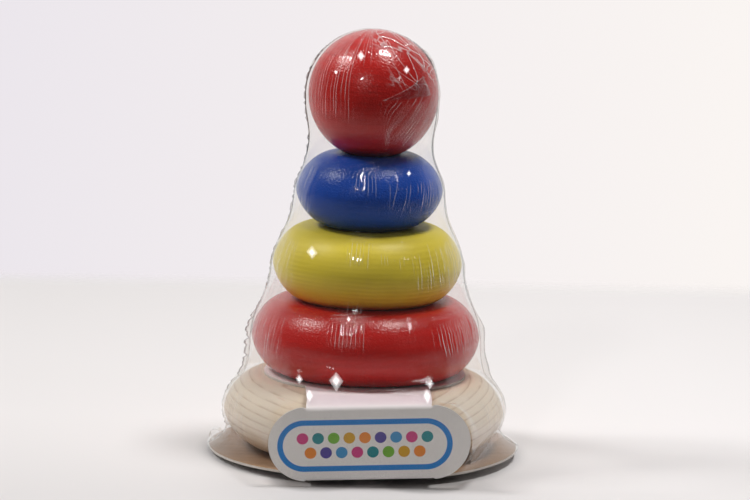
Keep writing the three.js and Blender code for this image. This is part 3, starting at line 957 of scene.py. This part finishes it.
def film_cling(front, z, x, y):
    """Where the film lies close on what it covers, by the angle from the front and the place in mm."""
    panel = soft_band(x, -33, 33, 3) * (y < -50)
    low = 1.4 * soft_band(z, -10, 14, 5) * soft_band(x, -42, 30, 14)
    neck = 0.7 * soft_band(z, 26, 33, 3) * soft_band(x, -22, 22, 3)
    ball = soft_band(z, 104, 140, 4) * (0.5 + 0.9 * soft_band(front, -90, -20, 12))
    rings = 0.7 * soft_band(front, 44, 86, 10) * (soft_band(z, 27, 52, 5) + soft_band(z, 79, 104, 4))
    under = 1.35 * soft_band(x, -27, 27, 4) * (soft_band(z, 30, 40, 4) + soft_band(z, 75, 82, 3))
    return np.maximum.reduce([panel, *(share * (y < 0) for share in (low, neck, ball, rings, under))])


def film_relief(angles, heights, radii, pleat):
    """How far the film's larger pleats and ripples stand off at each row and column, in metres."""
    wild = random.Random(11)
    front = from_front(angles)
    z = heights[:, None] / MM
    r = radii[:, None] / MM
    relief = np.zeros(front.shape)
    for start, end, low, high, amount in PLEATED:
        slant = SLANT if start > 0 and low > 102 else 0.1
        for _ in range(max(2, round((end - start) / 9))):
            angle = wild.uniform(start, end)
            z0, z1 = sorted((wild.uniform(low, high), wild.uniform(low, high)))
            middle = angle + np.degrees(slant * (z - (z0 + z1) / 2) / np.maximum(r, 8))
            away = (front - middle + 180) % 360 - 180
            across = np.radians(away) * r / wild.uniform(0.6, 1.1)
            ends = soft_band(z, z0, z1, 5)
            relief += wild.uniform(0.3, 0.8) * amount * pleat * ends * np.exp(-across ** 2)
    for _ in range(CROWN_LUMPS):
        a0, h0 = wild.uniform(-10, 150), wild.uniform(134, 146)
        turn, size = wild.uniform(0, math.pi), wild.uniform(0.6, 1.1)
        reach = wild.uniform(2, 6)
        du = np.radians((front - a0 + 180) % 360 - 180) * np.maximum(r, 2)
        dv = (z - h0) * 1.4
        u = du * math.cos(turn) + dv * math.sin(turn)
        v = -du * math.sin(turn) + dv * math.cos(turn)
        relief += 0.7 * pleat * wild.uniform(0.4, 1.0) * np.exp(-(u / size) ** 2 - (v / reach) ** 2)
    for _ in range(LONG_WAVES):
        k, m = wild.randint(2, 9), wild.uniform(0.03, 0.16)
        phase = wild.uniform(0, 2 * math.pi)
        relief += 0.02 * MM * (1 + np.sin(np.radians(front) * k + z * m + phase)) * np.clip(r / 20, 0, 1)
    for way, height, off in LOOSE:
        turn = (front - way + 180) % 360 - 180
        relief += off * MM * np.exp(-(turn / 24) ** 2 - ((z - height) / 5) ** 2)
    return relief


def film_reaches(radii, heights, gap, layout):
    """Angles round each row of the film, and how far it lies from the axis there, without its pleats."""
    angles, reaches = [], []
    for radius, z in zip(radii, heights):
        half, face, left = film_front(z, gap, layout)
        row = film_angles(math.atan2(half, face))
        angles.append(row)
        reaches.append(radius + left * (film_reach(row, radius, half, face) - radius))
    angles, reaches = np.array(angles), np.array(reaches)
    # Under the ball it draws in lower on the right than on the left
    lean = LOWER_ON_RIGHT * np.sin(np.radians(from_front(angles)))
    lean *= soft_band(heights[:, None] / MM, 103, 119, 4)
    reaches += np.interp(-heights[:, None] - lean, -heights, radii) - radii[:, None]
    # Film bends softly where nothing sharp is under it
    above = soft_band(heights[:, None] / MM, 28.5, 200, 2)
    for _ in range(EASINGS):
        eased = (np.roll(reaches, 1, 1) + np.roll(reaches, -1, 1) + 2 * reaches) / 4
        eased[1:-1] = (eased[:-2] + eased[2:] + 2 * eased[1:-1]) / 4
        reaches = np.maximum(reaches + above * (eased - reaches), radii[:, None] * 0.999)
    return angles, reaches


def seal_edges(relief, radii, heights, seam):
    """Adds the sealed edge to the relief: a thin fin on the left and right with a scalloped outline."""
    wild = random.Random(5)
    last = relief.shape[1] - 1
    wide = seam * (0.6 + soft_band(heights / MM, 24, 47, 12)) * np.clip(radii / (15 * MM), 0, 1)
    rows = np.arange(FILM_ROWS + 1)
    # On the right in long scallops and wide, on the left ragged
    for columns, every, rough, share in (((0, last), 5, 0.25, 1.35), ((FILM_BACK + 1,), 1, 0.65, 1.0)):
        knots = rows[::every]
        ragged = np.interp(rows, knots, [wild.uniform(1 - rough, 1 + rough) for _ in knots])
        for column in columns:
            relief[:, column] = wide * ragged * share
    for column in (1, FILM_BACK, FILM_BACK + 2, last - 1):
        relief[:, column] = 0


def film_places(reach, angles, heights, crown, layout, card):
    """Where each point of the film lies, drawn up along with the panel and the disc's rim."""
    place = np.stack([
        reach * np.cos(angles), reach * np.sin(angles), np.broadcast_to(heights[:, None], reach.shape)
    ], -1)
    place[:, -1] = place[:, 0]
    place[0, :] = (0, 0, crown)
    for point in place.reshape(-1, 3):
        if point[1] < -FRONT_START and point[2] < PANEL_REACH:
            point[:] = layout.draw_up(*point, card)
        if point[2] < RIM_REACH:
            near = 1 - smooth_step((point[2] - RIM_FULL) / (RIM_REACH - RIM_FULL))
            near *= 1 - in_front(-point[1])
            point[2] += near * layout.lift(point[0], point[1], card)
    return place


def mark_film(mesh, angles, heights, place):
    """Keeps for each point what the material asks of it, and lays out the flat coordinates."""
    front, z, x = from_front(angles), heights[:, None] / MM, place[..., 0] / MM
    seal = np.zeros(angles.shape)
    # Welded wider on the left
    seal[:, FILM_BACK + 1] = 1
    seal[:, [0, -1]] = 0.8
    # Over the card's neck the film's tint is painted shade and painted red reflection from the large ring
    # above
    double = 0.3 * soft_band(z, 26.6, 34, 3) * soft_band(x, -22, 22, 2) * (place[..., 1] < 0)
    for name, values in (
        ("pleat", pleat_strength(angles, heights)), ("crumple", crumple_strength(angles, heights)),
        ("cling", film_cling(front, z, x, place[..., 1] / MM)), ("seal", seal), ("double", double),
    ):
        store(mesh, name, values.reshape(-1))
    # Flat coordinates: round the girth, slanted where the pleats slant, and up
    slant = SLANT * soft_band(front, 12, 80, 14) * soft_band(z, 100, 146, 6) * (z - 122)
    slant += 0.35 * soft_band(front, 16, 80, 10) * soft_band(z, 79, 103, 4) * (z - 91)
    around = np.interp(z, *zip(*GIRTHS)) * MM * angles - slant * MM
    flat = np.stack([around, np.broadcast_to(heights[:, None], around.shape)], -1).reshape(-1, 2)
    corners = np.empty(len(mesh.loops), dtype=np.int32)
    mesh.loops.foreach_get("vertex_index", corners)
    mesh.uv_layers[0].data.foreach_set("uv", flat[corners].reshape(-1))


def pucker_reach(place, x, height):
    """How far each point of the film's front lies from a pucker, in mm."""
    across, above = place[:, 0] / MM - x, place[:, 2] / MM - height
    return np.where(place[:, 1] < 0, np.abs(across) + 0.85 * np.abs(above), 1e3)


def tilt_puckers(place):
    """How close each point is to a pucker's middle, and the way the pucker faces as far as it is flat."""
    glints, facing = np.zeros(len(place)), np.zeros(place.shape)
    for x, height, right, up, size in SPOTS:
        away = pucker_reach(place, x, height)
        a, b = math.radians(right), math.radians(up)
        flat = 1 - np.clip((away / size - 1.1) / 0.5, 0, 1)
        flat = flat * flat * (3 - 2 * flat)
        facing += flat[:, None] * (math.sin(a) * math.cos(b), -math.cos(a) * math.cos(b), math.sin(b))
        glints = np.maximum(glints, 1 - np.minimum(away / (1.6 * size), 1))
    return glints, facing


def crest_of(add, distance, width, strength):
    """A thin crest where the distance comes to nothing, as a height from 0 to 1."""
    crest = add("MapRange", distance, 0.0, width, 1.0, 0.0, interpolation_type="SMOOTHSTEP")
    return add("Math", crest, strength, operation="MULTIPLY")


def clear_film(context):
    """Shrink film: clear and glossy, with sharp pleats that catch the light as thin white lines."""
    film = stacker(context).film
    material, add = emptied(bpy.data.materials.new("clear_shrink_film"))
    where = add("TexCoord")
    zone, crumpled, clings, sealed, double, glint = (
        add("Attribute", attribute_name=name).outputs["Fac"]
        for name in ("pleat", "crumple", "cling", "seal", "double", "glint")
    )
    # Pleats run up the film side by side, unevenly spaced, and each starts and ends where it likes
    flat = add("SeparateXYZ", where.outputs["UV"])
    drift = add("TexNoise", where.outputs["UV"], Scale=70.0, Detail=1.0)
    around = add("Math", flat.outputs["X"], 1 / PLEAT_SPACING, drift, operation="MULTIPLY_ADD")
    rows = add(
        "TexVoronoi", around, voronoi_dimensions="1D", feature="DISTANCE_TO_EDGE",
        Scale=1.0, Randomness=0.75,
    )
    long_cells = add("Mapping", where.outputs["UV"], Scale=(0.6 / PLEAT_SPACING, 1 / STROKE_LENGTH, 1))
    strokes = add("TexNoise", long_cells, Scale=1.0, Detail=1.0)
    stroke = add("MapRange", strokes, 0.42, 0.6, interpolation_type="SMOOTHSTEP")
    # Where they are strongest none is missing
    missing = add("Math", stroke, 0.8, -0.8, operation="MULTIPLY_ADD")
    pleated = add("Math", zone, missing, operation="ADD", use_clamp=True)
    crest = crest_of(add, rows, 0.12, pleated)
    # Between them the film ripples, which breaks a lamp's image into thin upright strokes
    long_waves = add("Mapping", where.outputs["UV"], Scale=(1 / RIPPLE_WIDTH, 1 / RIPPLE_LENGTH, 1))
    waves = add("TexNoise", long_waves, Scale=1.0, Detail=0.0)
    ripples = add("Math", waves, zone, operation="MULTIPLY")
    # Over the crown they are drawn out towards the right, where the film was gathered
    for turn, stretch in CROWN_FOLDS:
        drawn = add(
            "Mapping", where.outputs["Object"], vector_type="TEXTURE",
            Rotation=(0, math.radians(turn), 0), Scale=tuple(size * MM for size in stretch),
        )
        folds = add("TexNoise", drawn, Scale=1.0, Detail=0.8)
        level = add("Math", folds, 0.5, operation="SUBTRACT")
        level = add("Math", level, operation="ABSOLUTE")
        crest = add("Math", crest, crest_of(add, level, 0.014, crumpled), operation="MAXIMUM")
    slack = add("TexNoise", where.outputs["Object"], Scale=160.0, Detail=1.0)
    height = add("Math", slack, 0.6, crest, operation="MULTIPLY_ADD")
    height = add("Math", ripples, 1.4, height, operation="MULTIPLY_ADD")
    # A pucker is a small flat of its own that faces a lamp, and the rest of the film is uneven
    tilted = add("Attribute", attribute_name="facing").outputs["Vector"]
    tilt = add("VectorMath", tilted, operation="LENGTH")
    even = add("Math", 1.0, tilt, operation="SUBTRACT", use_clamp=True)
    bump = add("Bump", Strength=even, Distance=CREASE_DEPTH, Height=height)
    level = add("VectorMath", bump, even, operation="SCALE")
    normal = add("VectorMath", level, tilted, operation="ADD")
    normal = add("VectorMath", normal, operation="NORMALIZE")
    # Both faces of the thin sheet reflect, and where it is gathered there are more of them
    mirror = add("Fresnel", 1.5, normal)
    more = add("Math", glint, 1.0, 1.1, operation="MULTIPLY_ADD")
    both = add("Math", mirror, more, operation="MULTIPLY", use_clamp=True)
    # Where it clings to what it covers it has less to reflect, and from inside nothing
    inside = add("NewGeometry").outputs["Backfacing"]
    outside = add("Math", 1.0, inside, operation="SUBTRACT")
    held = add("Math", even, -0.65, operation="MULTIPLY")
    free = add("Math", clings, held, outside, operation="MULTIPLY_ADD")
    shine = add("Math", both, free, operation="MULTIPLY", use_clamp=True)
    # Where it lies in two layers it is darker and tinted, and over the card's neck the same tint is painted
    # shade and painted red reflection from the large ring
    tint = add("ValToRGB", double, stops=[(0.0, (0.978, 0.974, 0.968)), (1.0, (0.8, 0.72, 0.78))])
    through = add("BsdfTransparent", tint)
    # A lamp's image in the small puckers fades towards their edges
    fade = add("Math", glint, -0.36, 0.56, operation="MULTIPLY_ADD")
    soft = add("MapRange", even, 0.0, 1.0, fade, 0.06)
    gloss = add("BsdfGlossy", (1, 1, 1, 1), soft, Normal=normal)
    glazed = add("MixShader", shine, through, gloss)
    # Creases and the sealed edge are a little milky
    bead = add("MapRange", sealed, 0.55, 0.95, interpolation_type="SMOOTHSTEP")
    milky = add("Math", bead, 1.3, crest, operation="MULTIPLY_ADD")
    haze = add("Math", milky, film.crease_haze, film.haze, operation="MULTIPLY_ADD")
    tone = add("ValToRGB", bead, stops=[(0.0, 0.9), (1.0, 0.66)])
    milk = add("BsdfDiffuse", tone)
    add("OutputMaterial", add("MixShader", haze, glazed, milk))
    return material


class STACKER_OT_draw_film(bpy.types.Operator):
    """Draw the shrink film over the toy and its card"""
    bl_idname = "stacker.draw_film"
    bl_label = "Draw the film"

    def hem_curl(self):
        """A dog-ear of the hem that has curled up into a loop on the left."""
        deselect_all()
        bpy.ops.mesh.primitive_cylinder_add(
            vertices=40, radius=CURL_RADIUS, depth=CURL_LENGTH, end_fill_type="NOTHING",
            location=CURL_PLACE, rotation=(math.radians(90), 0, math.radians(-8)),
        )
        bpy.ops.object.mode_set(mode="EDIT")
        bpy.ops.mesh.subdivide(number_cuts=3)
        bpy.ops.mesh.select_all(action="SELECT")
        bpy.ops.mesh.bisect(
            plane_co=CURL_END, plane_no=(0.5, 0, -0.87), clear_outer=True, clear_inner=False
        )
        bpy.ops.mesh.select_all(action="SELECT")
        bpy.ops.mesh.normals_make_consistent(inside=False)
        bpy.ops.object.mode_set(mode="OBJECT")
        curl = bpy.context.object
        bpy.ops.object.transform_apply(location=True, rotation=True, scale=True)
        deep = np.array([vertex.co.y for vertex in curl.data.vertices])
        store(curl.data, "seal", (deep < deep.min() + 0.5 * MM) * 0.8)
        return curl

    def draw_puckers(self, obj):
        """Splits the film finely round each pucker and marks it."""
        mesh = obj.data
        bpy.ops.object.mode_set(mode="EDIT")
        bpy.ops.mesh.select_mode(type="FACE")
        bpy.ops.mesh.select_all(action="DESELECT")
        bpy.ops.object.mode_set(mode="OBJECT")
        middles = np.array([face.center for face in mesh.polygons])
        near = np.zeros(len(middles), dtype=bool)
        for x, height, _, _, size in SPOTS:
            near |= pucker_reach(middles, x, height) < 1.6 * size + 0.1
        mesh.polygons.foreach_set("select", near)
        bpy.ops.object.mode_set(mode="EDIT")
        bpy.ops.mesh.subdivide(number_cuts=2)
        bpy.ops.object.mode_set(mode="OBJECT")
        place = np.array([vertex.co for vertex in mesh.vertices])
        glint, facing = tilt_puckers(place)
        store(mesh, "glint", glint)
        store(mesh, "facing", facing)

    def spare_corner(self, gap):
        """A spare corner of film that lies folded over on the ball's right, so that it lies in two layers
        there.
        """
        deselect_all()
        count = SPARE_STEPS
        bpy.ops.mesh.primitive_grid_add(x_subdivisions=count, y_subdivisions=count, size=1)
        obj = bpy.context.object
        centre = top_of("top_ball") - radius_of("top_ball")
        radius = radius_of("top_ball") + gap + SPARE_OFF
        tip, upper, lower = (np.array(corner) for corner in SPARE_CORNER)
        places, edge = [], []
        for j in range(count + 1):
            for i in range(count + 1):
                u, v = i / count, j / count
                turn, height = tip + v * (upper + u * (lower - upper) - tip)
                height *= MM
                lump = SPARE_LUMPS * math.sin(9 * u + 14 * v) * v
                r = math.sqrt((radius + lump) ** 2 - (height - centre) ** 2)
                turn = math.radians(turn)
                places.append((r * math.sin(turn), -r * math.cos(turn), height))
                edge.append(1.0 if i == 0 or j in (0, count) else 0.1)
        obj.data.vertices.foreach_set("co", np.array(places).reshape(-1))
        edge = np.array(edge)
        for name, values in (("crumple", edge), ("double", np.full(len(edge), 0.4)), ("pleat", edge)):
            store(obj.data, name, values)
        obj.data.update()
        bpy.ops.object.mode_set(mode="EDIT")
        close_up(1e-5)
        return obj

    def execute(self, context):
        film = stacker(context).film
        layout = CardLayout(stacker(context).card)
        radii, heights = film_rows(film.gap)
        angles, reach = film_reaches(radii, heights, film.gap, layout)
        relief = film_relief(angles, heights, radii, film.pleat)
        seal_edges(relief, radii, heights, film.seam)
        crown = top_of("top_ball") + film.gap
        place = film_places(reach + relief, angles, heights, crown, layout, stacker(context).card)
        deselect_all()
        bpy.ops.mesh.primitive_grid_add(
            x_subdivisions=angles.shape[1] - 1, y_subdivisions=FILM_ROWS, size=1
        )
        obj = bpy.context.object
        obj.data.vertices.foreach_set("co", place.reshape(-1))
        mark_film(obj.data, angles, heights, place)
        obj.data.update()
        only(obj)
        bpy.ops.object.mode_set(mode="EDIT")
        close_up()
        self.draw_puckers(obj)
        curl = self.hem_curl()
        corner = self.spare_corner(film.gap)
        only(obj)
        curl.select_set(True)
        corner.select_set(True)
        bpy.ops.object.join()
        sheet = obj.modifiers.new("Thickness", "SOLIDIFY")
        sheet.thickness = film.thickness
        sheet.offset = -1
        bpy.ops.object.modifier_apply(modifier=sheet.name)
        finish_piece(obj, "film_wrap", "shrink_film", "shrink_film", clear_film(context), 60)
        return {"FINISHED"}


# Surroundings

CAMERA_AIM = Vector((0, 0, 0.07))
CAMERA_AZIMUTH = 2.48
CAMERA_PITCH = 10.0
CAMERA_ROLL = 1.55
CAMERA_DISTANCE = 2.2
FRAME_WIDTH, FRAME_HEIGHT = 750, 500
FOCAL_PIXELS = 2.888 * 2200
AIM_PIXEL = (367.7, 250.6)


def place_camera(context):
    """A long lens from a little above, as the photograph was taken."""
    camera = bpy.data.cameras.new("camera")
    camera.sensor_fit = "HORIZONTAL"
    camera.sensor_width = 36
    camera.lens = camera.sensor_width * FOCAL_PIXELS / FRAME_WIDTH
    camera.shift_x = (FRAME_WIDTH / 2 - AIM_PIXEL[0]) / FRAME_WIDTH
    camera.shift_y = (AIM_PIXEL[1] - FRAME_HEIGHT / 2) / FRAME_WIDTH
    camera.clip_start = 0.05
    camera.clip_end = 100
    obj = bpy.data.objects.new("camera", camera)
    context.scene.collection.objects.link(obj)
    azimuth, pitch = math.radians(CAMERA_AZIMUTH), math.radians(CAMERA_PITCH)
    forward = Vector((
        math.sin(azimuth) * math.cos(pitch), math.cos(azimuth) * math.cos(pitch), -math.sin(pitch)
    ))
    obj.location = CAMERA_AIM - forward * CAMERA_DISTANCE
    obj.rotation_mode = "QUATERNION"
    turn = forward.to_track_quat("-Z", "Y")
    obj.rotation_quaternion = turn @ Quaternion((0, 0, 1), math.radians(CAMERA_ROLL))
    context.scene.camera = obj


# Each lamp's name, the way to it from the object, its distance and its size in metres, and its watts
LAMPS = [
    ("overhead", (0.288, -0.057, 0.956), 1.2, 0.28, 10),
    ("upper_left", (-0.633, 0.044, 0.772), 1.2, 0.28, 7.4),
    ("front_left", (-0.327, -0.772, 0.546), 1.5, 0.14, 2.1),
    ("front_right", (0.638, -0.549, 0.539), 1.5, 0.1, 0.35),
]


def lamp(context, name, direction, distance, size, watts):
    light = bpy.data.lights.new(name, "AREA")
    light.shape = "SQUARE"
    light.size = size
    light.energy = watts
    obj = bpy.data.objects.new(name, light)
    context.scene.collection.objects.link(obj)
    way = Vector(direction).normalized()
    obj.location = CAMERA_AIM + way * distance
    obj.rotation_mode = "QUATERNION"
    obj.rotation_quaternion = (-way).to_track_quat("-Z", "Y")


TABLE_SIZE = (1.8, 0.95, 1, 1)
TABLE_MIDDLE = (0, -0.035, 0)
TABLE_PIVOT = 50 * MM
TABLE_FALL = math.radians(1.25)

# Painted shadow on the table under the card and just in front of it, and painted light on its right:
# x and y of each patch in mm, where it begins and ends to fade, and the share of light there
TABLE_PAINTED_LIGHT_AND_SHADE = [
    (0, 0, 50, 59, 0.72), (-19, -46, 12, 18, 0.7), (19, -46, 12, 18, 0.7),
    (2, -50, 20, 75, 0.88), (60, -14, 10, 40, 1.12), (100, -14, 10, 45, 1.14),
]


def studio_table(context):
    """Matt white table top, whose far edge is out of focus against the pale room."""
    stage = stacker(context).stage
    material, add = emptied(bpy.data.materials.new("matt_white_table"))
    where = add("TexCoord").outputs["Object"]
    parts = add("SeparateXYZ", where)
    # Painted shade: the table darkens towards its near edge, and for all rays but the camera's far more
    # there, so that what reflects it shows the dark room
    near = add("MapRange", parts.outputs["Y"], -0.4, 0.05, 0.66, 1.0)
    dark = add("MapRange", parts.outputs["Y"], -0.24, -0.095, 0.2, 1.0, interpolation_type="SMOOTHSTEP")
    direct = add("LightPath").outputs["Is Camera Ray"]
    dark = add("Math", dark, direct, operation="MAXIMUM")
    # Painted light: the table is lighter towards the right
    right = add("MapRange", parts.outputs["X"], -0.12, 0.12, 1.02, 1.15)
    share = add("Math", near, dark, operation="MULTIPLY")
    share = add("Math", share, right, operation="MULTIPLY")
    # Each patch is painted shadow or painted light on the table's colour
    for x, y, start, end, left in TABLE_PAINTED_LIGHT_AND_SHADE:
        off = add("VectorMath", where, (x * MM, y * MM, 0), operation="DISTANCE")
        patch = add("MapRange", off, start * MM, end * MM, left, 1.0, interpolation_type="SMOOTHSTEP")
        share = add("Math", share, patch, operation="MULTIPLY")
    shade = add("VectorMath", tuple(stage.table), share, operation="SCALE")
    surface = add("BsdfPrincipled", shade, Roughness=0.7, Specular_IOR_Level=0.2)
    far = add("MapRange", parts.outputs["Y"], 0.274, 0.309, interpolation_type="SMOOTHSTEP")
    gone = add("BsdfTransparent")
    add("OutputMaterial", add("MixShader", far, surface, gone))
    return material


def studio_world(context):
    """A room that is white behind the object and dark in front of it, and plain pale to the camera."""
    stage = stacker(context).stage
    world, add = emptied(bpy.data.worlds.new("studio"))
    way = add("SeparateXYZ", add("TexCoord").outputs["Generated"])
    behind = add("MapRange", way.outputs["Y"], 0.02, 0.52, 0.04, 0.8, interpolation_type="SMOOTHSTEP")
    ceiling = add("MapRange", way.outputs["Z"], 0.3, 0.85, 1.0, 0.35)
    strength = add("Math", behind, ceiling, operation="MULTIPLY")
    room = add("Background", (1, 1, 1, 1), strength)
    across = add("MapRange", way.outputs["X"], -0.02, 0.1)
    wall = add("Mix", across, rgba(stage.wall_left), rgba(stage.wall_right), data_type="RGBA")
    seen = add("Background", wall, 1.0)
    direct = add("LightPath").outputs["Is Camera Ray"]
    add("OutputWorld", add("MixShader", direct, room, seen))
    context.scene.world = world


class STACKER_OT_set_stage(bpy.types.Operator):
    """Set the table, the lamps and the camera"""
    bl_idname = "stacker.set_stage"
    bl_label = "Set the stage"

    def execute(self, context):
        deselect_all()
        bpy.ops.mesh.primitive_plane_add(size=1, location=(0, 0, 0))
        table = context.object
        table.data.transform(Matrix.Diagonal(TABLE_SIZE))
        table.data.transform(Matrix.Translation(TABLE_MIDDLE))
        # The toy rests back on its film a little, so the table falls away under the card's front
        pivot = Matrix.Translation((0, TABLE_PIVOT, 0))
        table.data.transform(pivot @ Matrix.Rotation(TABLE_FALL, 4, "X") @ pivot.inverted())
        table.name = "table"
        table.data.materials.append(studio_table(context))
        for name, *settings in LAMPS:
            lamp(context, name, *settings)
        studio_world(context)
        place_camera(context)
        context.scene.view_settings.view_transform = "Standard"
        return {"FINISHED"}


# Panel and registration

class Stacker(bpy.types.PropertyGroup):
    """All that a user may change."""
    wood: PointerProperty(type=StackerWood, name="Wood", description="Turned wood")
    card: PointerProperty(type=StackerCard, name="Card", description="Folded card")
    film: PointerProperty(type=StackerFilm, name="Film", description="Shrink film")
    stage: PointerProperty(type=StackerStage, name="Stage", description="Surroundings")


class STACKER_PT_sidebar(bpy.types.Panel):
    """Lists the stacker's pieces and their sizes"""
    bl_idname = "STACKER_PT_sidebar"
    bl_label = "Ring stacker"
    bl_space_type = "VIEW_3D"
    bl_region_type = "UI"
    bl_category = "Stacker"

    def draw(self, context):
        column = self.layout.column()
        for operator in OPERATORS:
            column.operator(operator.bl_idname)
        for group in ("wood", "card", "film", "stage"):
            box = self.layout.box()
            values = getattr(stacker(context), group)
            for name in values.__annotations__:
                box.prop(values, name)


GROUPS = (StackerWood, StackerCard, StackerFilm, StackerStage, Stacker)
OPERATORS = (
    STACKER_OT_set_stage, STACKER_OT_fold_card, STACKER_OT_turn_base, STACKER_OT_turn_rings,
    STACKER_OT_turn_ball, STACKER_OT_draw_film,
)


def register():
    for part in (*GROUPS, *OPERATORS, STACKER_PT_sidebar):
        bpy.utils.register_class(part)
    bpy.types.Scene.stacker = PointerProperty(type=Stacker)


def unregister():
    del bpy.types.Scene.stacker
    for part in reversed((*GROUPS, *OPERATORS, STACKER_PT_sidebar)):
        bpy.utils.unregister_class(part)


def main():
    register()
    bpy.ops.stacker.set_stage()
    bpy.ops.stacker.fold_card()
    bpy.ops.stacker.turn_base()
    bpy.ops.stacker.turn_rings()
    bpy.ops.stacker.turn_ball()
    bpy.ops.stacker.draw_film()


if __name__ == "__main__":
    main()
